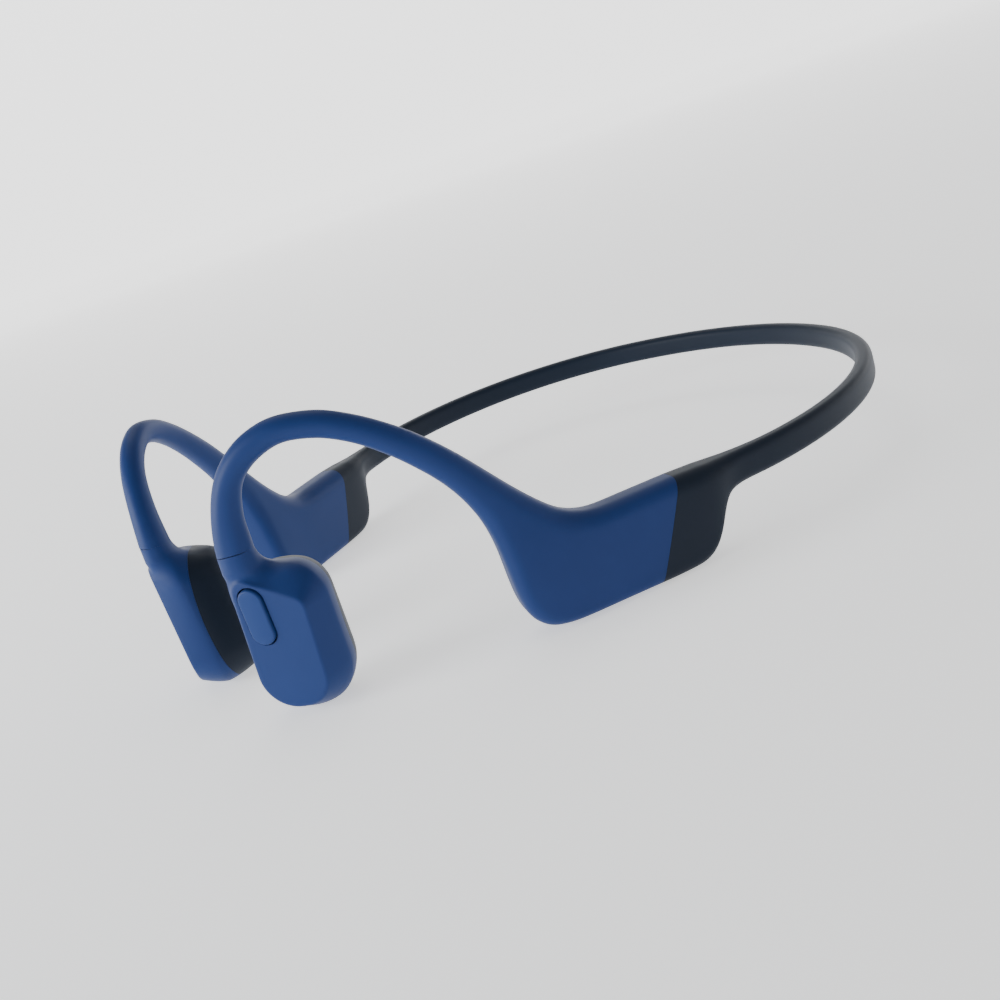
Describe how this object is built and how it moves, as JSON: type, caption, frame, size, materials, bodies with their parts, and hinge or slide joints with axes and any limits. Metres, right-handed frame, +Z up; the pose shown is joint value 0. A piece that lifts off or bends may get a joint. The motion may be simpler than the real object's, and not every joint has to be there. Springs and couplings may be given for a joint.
{
  "type": "bone conduction headphones",
  "caption": "Open-ear bone conduction headset with two ear hooks, cheekbone transducers and a sprung neckband.",
  "frame": {"origin": "centre of the footprint, on the surface that the headset stands on", "axes": "+X to the wearer's left, +Y to the back of the neck (the face is at -Y), +Z up"},
  "size_m": [0.1144, 0.1401, 0.0444],
  "materials": {
    "soft_blue": "soft-touch silicone, matte blue",
    "button_blue": "matte blue, fine moulded texture",
    "soft_dark": "soft-touch silicone, matte dark navy",
    "titanium": "drawn titanium wire",
    "cable_sheath": "extruded sheath",
    "steel": "stamped steel",
    "nickel": "nickel plate",
    "copper": "enamelled copper wire",
    "black_plastic": "moulded",
    "cell_foil": "pouch foil",
    "board_green": "solder mask",
    "gold": "gold flash"
  },
  "bodies": {
    "neckband": {"neckband_jacket": "soft_dark", "neckband_wire": "titanium", "neckband_cable": "cable_sheath"},
    "left_side": {"left_neckband_arm": "soft_dark", "left_band_wire": "titanium", "left_band_cable": "cable_sheath", "left_wire_anchor": "steel", "left_ear_hook": "soft_blue", "left_hook_wire": "titanium", "left_hook_cable": "cable_sheath", "left_driver_shell": "soft_blue", "left_contact_pad": "soft_dark", "left_driver_frame": "black_plastic", "left_voice_coil": "copper", "left_suspension_spring": "steel", "left_vibration_plate": "black_plastic", "battery": "cell_foil", "battery_board": "board_green", "charging_port": "black_plastic", "charging_pins": "gold", "charging_magnets": "nickel", "button_switch": "steel", "button_board": "board_green"},
    "left_motor": {"left_driver_yoke": "steel", "left_driver_magnet": "nickel", "left_driver_pole_plate": "steel"},
    "button": {"multifunction_button": "button_blue"},
    "right_side": {"right_neckband_arm": "soft_dark", "right_band_wire": "titanium", "right_band_cable": "cable_sheath", "right_wire_anchor": "steel", "right_ear_hook": "soft_blue", "right_hook_wire": "titanium", "right_hook_cable": "cable_sheath", "right_driver_shell": "soft_blue", "right_contact_pad": "soft_dark", "right_driver_frame": "black_plastic", "right_voice_coil": "copper", "right_suspension_spring": "steel", "right_vibration_plate": "black_plastic", "main_board": "board_green", "bluetooth_module": "steel", "volume_board": "board_green", "volume_up_switch": "steel", "volume_down_switch": "steel", "ambient_microphone": "steel", "voice_microphone": "steel", "voice_microphone_mesh": "steel"},
    "right_motor": {"right_driver_yoke": "steel", "right_driver_magnet": "nickel", "right_driver_pole_plate": "steel"},
    "volume_up": {"volume_up_button": "button_blue"},
    "volume_down": {"volume_down_button": "button_blue"}
  },
  "joints": [
    {"name": "left_spread", "type": "hinge", "parent": "neckband", "child": "left_side", "pos_m": [0.02705, 0.0625, 0.0116], "axis": [0, 0, 1], "range_deg": [-2, 10], "stiffness_Nm_per_rad": 0.3},
    {"name": "right_spread", "type": "hinge", "parent": "neckband", "child": "right_side", "pos_m": [-0.02705, 0.0625, 0.0116], "axis": [0, 0, -1], "range_deg": [-2, 10], "stiffness_Nm_per_rad": 0.3},
    {"name": "multifunction_press", "type": "slide", "parent": "left_side", "child": "button", "axis": [-0.4692, 0.8824, 0.0366], "range_m": [0, 0.0003], "stiffness_N_per_m": 5000},
    {"name": "volume_up_press", "type": "slide", "parent": "right_side", "child": "volume_up", "axis": [0, 0, 1], "range_m": [0, 0.00025], "stiffness_N_per_m": 6000},
    {"name": "volume_down_press", "type": "slide", "parent": "right_side", "child": "volume_down", "axis": [0, 0, 1], "range_m": [0, 0.00025], "stiffness_N_per_m": 6000},
    {"name": "left_vibration", "type": "slide", "parent": "left_side", "child": "left_motor", "axis": [0.4692, -0.8824, -0.0366], "range_m": [-0.00015, 0.00015], "stiffness_N_per_m": 1800},
    {"name": "right_vibration", "type": "slide", "parent": "right_side", "child": "right_motor", "axis": [-0.4692, -0.8824, -0.0366], "range_m": [-0.00015, 0.00015], "stiffness_N_per_m": 1800}
  ]
}
